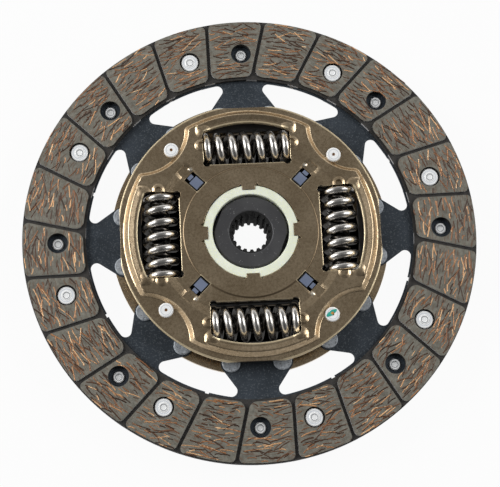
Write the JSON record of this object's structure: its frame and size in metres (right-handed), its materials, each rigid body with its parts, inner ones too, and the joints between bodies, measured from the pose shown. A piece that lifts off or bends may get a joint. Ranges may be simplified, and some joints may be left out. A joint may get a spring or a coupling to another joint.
{
  "type": "clutch disc",
  "caption": "Dry clutch disc: two grooved friction facings on a waved cushion ring, a coil spring torsion damper between pressed retainer plates, and a splined sliding hub.",
  "frame": {"origin": "on the disc's axis, midway between the two friction faces", "axes": "+Z along the axis, out of the side with the tabbed collar; +X through the middle of a spring window"},
  "size_m": [0.235, 0.235, 0.0271],
  "materials": {
    "facing": "woven friction material with many short copper strands, ground flat",
    "segment_steel": "blued spring steel, matt",
    "facing_rivet_steel": "coppered or zinc plated, bright",
    "rivet_steel": "zinc plated, satin",
    "plate_steel": "oiled pressed steel with a bronze cast",
    "flange_steel": "hardened, dark grey",
    "hub_steel": "phosphated dark grey",
    "spring_steel": "drawn and shot-peened, bright",
    "bearing_plastic": "natural moulded polyamide",
    "load_plastic": "blue-grey moulded polyamide",
    "friction_plastic": "dark filled polyamide"
  },
  "bodies": {
    "disc": {"front_facing": "facing", "back_facing": "facing", "cushion_segment_1": "segment_steel", "cushion_segment_2": "segment_steel", "cushion_segment_3": "segment_steel", "cushion_segment_4": "segment_steel", "cushion_segment_5": "segment_steel", "cushion_segment_6": "segment_steel", "cushion_segment_7": "segment_steel", "cushion_segment_8": "segment_steel", "front_facing_rivets": "facing_rivet_steel", "back_facing_rivets": "facing_rivet_steel", "segment_rivets": "rivet_steel", "stop_rivets": "rivet_steel", "front_retainer_plate": "plate_steel", "rear_retainer_plate": "plate_steel", "front_bearing_ring": "bearing_plastic", "load_ring": "load_plastic", "coned_washer": "spring_steel", "rear_friction_ring": "friction_plastic"},
    "hub": {"hub": "hub_steel", "drive_flange": "flange_steel"},
    "springs": {"outer_spring_1": "spring_steel", "outer_spring_2": "spring_steel", "outer_spring_3": "spring_steel", "outer_spring_4": "spring_steel", "inner_spring_1": "spring_steel", "inner_spring_2": "spring_steel", "inner_spring_3": "spring_steel", "inner_spring_4": "spring_steel"}
  },
  "joints": [
    {"name": "hub_twist", "type": "hinge", "parent": "disc", "child": "hub", "pos_m": [0, 0, 0], "axis": [0, 0, 1], "range_deg": [-12, 4], "stiffness_Nm_per_rad": 400},
    {"name": "spring_follow", "type": "hinge", "parent": "disc", "child": "springs", "pos_m": [0, 0, 0], "axis": [0, 0, 1], "range_deg": [-6, 2], "deforming": ["outer_spring_1", "outer_spring_2", "outer_spring_3", "outer_spring_4", "inner_spring_1", "inner_spring_2", "inner_spring_3", "inner_spring_4"]}
  ],
  "couplings": [
    {"joint": "spring_follow", "follows": "hub_twist", "ratio": 0.5}
  ]
}
